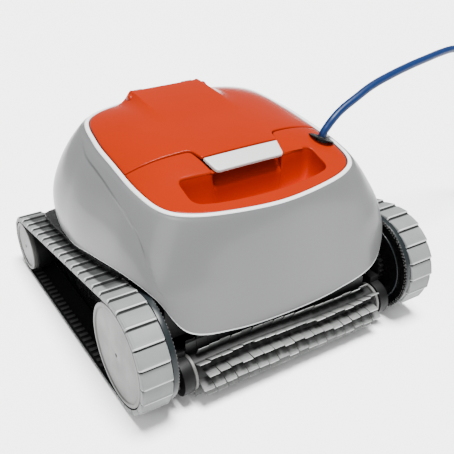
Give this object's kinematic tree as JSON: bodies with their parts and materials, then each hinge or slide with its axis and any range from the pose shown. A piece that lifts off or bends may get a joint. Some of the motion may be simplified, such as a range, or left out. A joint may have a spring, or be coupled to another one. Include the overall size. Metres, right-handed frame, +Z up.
{
  "type": "pool cleaner",
  "caption": "Tracked robotic pool cleaner with a grey shell, an orange hinged lid, a front flap brush and a blue floating cable.",
  "frame": {"origin": "on the floor under the middle of the machine's overall box, its cable left out", "axes": "+Z up, -Y toward the brush in front, +X to the side where the cable leaves"},
  "size_m": [0.887, 0.4364, 0.2785],
  "materials": {
    "shell_grey": "satin gloss",
    "lid_orange": "gloss",
    "handle_grey": "satin",
    "disc_grey": "satin",
    "track_rubber": "matt",
    "black_gloss": "gloss",
    "black_plastic": "satin",
    "black_rubber": "matt",
    "brush_rubber": "matt",
    "steel": "brushed",
    "white_plastic": "satin",
    "filter_mesh": "woven",
    "foam": "matt",
    "cable_jacket": "satin"
  },
  "bodies": {
    "machine": {"outer_shell": "shell_grey", "front_cover": "lid_orange", "chassis_tub": "black_plastic", "deck_flange": "black_gloss", "bottom_plate": "black_plastic", "rear_axle": "steel", "pump_motor": "black_plastic", "pump_motor_cap": "black_plastic", "impeller_duct": "black_plastic", "filter_basket": "white_plastic", "filter_panel_front": "filter_mesh", "filter_panel_rear": "filter_mesh", "cable_gland": "black_rubber", "cable_lead": "cable_jacket", "cable_coil": "cable_jacket", "cable_plug": "black_plastic", "bottom_screw_1": "steel", "bottom_screw_2": "steel", "bottom_screw_3": "steel", "bottom_screw_4": "steel", "track_left": "track_rubber", "side_frame_left": "black_gloss", "front_bush_left": "white_plastic", "drive_motor_left": "black_plastic", "brush_arm_left": "black_plastic", "float_left": "foam", "track_right": "track_rubber", "side_frame_right": "black_gloss", "front_bush_right": "white_plastic", "drive_motor_right": "black_plastic", "brush_arm_right": "black_plastic", "float_right": "foam"},
    "door": {"top_door": "lid_orange", "hinge_pin": "steel", "latch_pin": "steel", "outlet_grille": "black_plastic"},
    "handle": {"latch_handle": "handle_grey"},
    "brush": {"brush_core": "white_plastic", "brush_sleeve": "brush_rubber", "brush_gear": "black_plastic", "brush_end_left": "disc_grey", "brush_end_right": "disc_grey"},
    "rotor": {"pump_shaft": "steel", "impeller": "white_plastic"},
    "front_wheels_left": {"front_wheel_left": "black_plastic", "front_disc_left": "disc_grey", "drive_shaft_left": "steel", "drive_gear_left": "black_plastic"},
    "rear_wheels_left": {"rear_wheel_left": "black_plastic", "rear_disc_left": "disc_grey"},
    "pinion_left": {"drive_pinion_left": "steel"},
    "flap_left": {"intake_flap_left": "black_rubber"},
    "front_wheels_right": {"front_wheel_right": "black_plastic", "front_disc_right": "disc_grey", "drive_shaft_right": "steel", "drive_gear_right": "black_plastic"},
    "rear_wheels_right": {"rear_wheel_right": "black_plastic", "rear_disc_right": "disc_grey"},
    "pinion_right": {"drive_pinion_right": "steel"},
    "flap_right": {"intake_flap_right": "black_rubber"}
  },
  "joints": [
    {"name": "door_hinge", "type": "hinge", "parent": "machine", "child": "door", "pos_m": [0, 0.117, 0.242], "axis": [-1, 0, 0], "range_deg": [0, 95]},
    {"name": "handle_hinge", "type": "hinge", "parent": "door", "child": "handle", "pos_m": [0, -0.07, 0.22075], "axis": [-1, 0, 0], "range_deg": [0, 20], "stiffness_Nm_per_rad": 0.02},
    {"name": "front_axle_left", "type": "hinge", "parent": "machine", "child": "front_wheels_left", "pos_m": [-0.17, -0.138, 0.065], "axis": [1, 0, 0], "continuous": true},
    {"name": "rear_axle_left", "type": "hinge", "parent": "machine", "child": "rear_wheels_left", "pos_m": [-0.17, 0.162, 0.041], "axis": [1, 0, 0], "continuous": true},
    {"name": "pinion_axis_left", "type": "hinge", "parent": "machine", "child": "pinion_left", "pos_m": [-0.1445, -0.09845, 0.065], "axis": [1, 0, 0], "continuous": true},
    {"name": "front_axle_right", "type": "hinge", "parent": "machine", "child": "front_wheels_right", "pos_m": [0.17, -0.138, 0.065], "axis": [1, 0, 0], "continuous": true},
    {"name": "rear_axle_right", "type": "hinge", "parent": "machine", "child": "rear_wheels_right", "pos_m": [0.17, 0.162, 0.041], "axis": [1, 0, 0], "continuous": true},
    {"name": "pinion_axis_right", "type": "hinge", "parent": "machine", "child": "pinion_right", "pos_m": [0.1445, -0.09845, 0.065], "axis": [1, 0, 0], "continuous": true},
    {"name": "brush_axis", "type": "hinge", "parent": "machine", "child": "brush", "pos_m": [0, -0.1665, 0.033], "axis": [1, 0, 0], "continuous": true},
    {"name": "impeller_axis", "type": "hinge", "parent": "machine", "child": "rotor", "pos_m": [0, 0.072, 0.178], "axis": [0, 0, 1], "continuous": true},
    {"name": "flap_hinge_left", "type": "hinge", "parent": "machine", "child": "flap_left", "pos_m": [-0.056, 0.008, 0.0217], "axis": [-1, 0, 0], "range_deg": [0, 60]},
    {"name": "flap_hinge_right", "type": "hinge", "parent": "machine", "child": "flap_right", "pos_m": [0.056, 0.008, 0.0217], "axis": [-1, 0, 0], "range_deg": [0, 60]}
  ],
  "couplings": [
    {"joint": "rear_axle_left", "follows": "front_axle_left", "ratio": 1.6977},
    {"joint": "pinion_axis_left", "follows": "front_axle_left", "ratio": -2},
    {"joint": "rear_axle_right", "follows": "front_axle_right", "ratio": 1.6977},
    {"joint": "pinion_axis_right", "follows": "front_axle_right", "ratio": -2},
    {"joint": "brush_axis", "follows": "front_axle_left", "ratio": -1.6}
  ]
}
